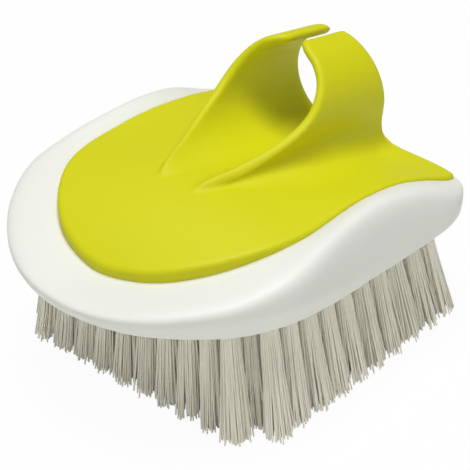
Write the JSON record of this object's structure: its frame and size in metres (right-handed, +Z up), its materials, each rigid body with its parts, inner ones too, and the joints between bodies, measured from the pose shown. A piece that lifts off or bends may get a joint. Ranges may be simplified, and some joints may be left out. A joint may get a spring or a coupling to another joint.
{
  "type": "vegetable brush",
  "caption": "Palm-held vegetable brush: white moulded body, soft green pad whose two wings curl up into a split finger ring, and a flat field of nylon tufts below.",
  "frame": {"origin": "on the plane of the bristle tips, below the middle of the body's outline", "axes": "+Z up through the body and the ring, -Y towards the round nose, +Y towards the finger ring's rear face, X across; x = 0 is the mirror plane"},
  "size_m": [0.0746, 0.0832, 0.0558],
  "materials": {
    "white_body": "satin moulded polypropylene",
    "green_grip": "fine matt soft-touch elastomer",
    "anchor_metal": "plain drawn wire",
    "nylon_bristle": "translucent off-white nylon filament"
  },
  "bodies": {
    "root": {"body_shell": "white_body", "grip_pad": "green_grip", "tuft_block": "white_body", "tuft_anchors": "anchor_metal", "bristle_row_01": "nylon_bristle", "bristle_row_02": "nylon_bristle", "bristle_row_03": "nylon_bristle", "bristle_row_04": "nylon_bristle", "bristle_row_05": "nylon_bristle", "bristle_row_06": "nylon_bristle", "bristle_row_07": "nylon_bristle", "bristle_row_08": "nylon_bristle", "bristle_row_09": "nylon_bristle", "bristle_row_10": "nylon_bristle", "bristle_row_11": "nylon_bristle"}
  },
  "joints": []
}
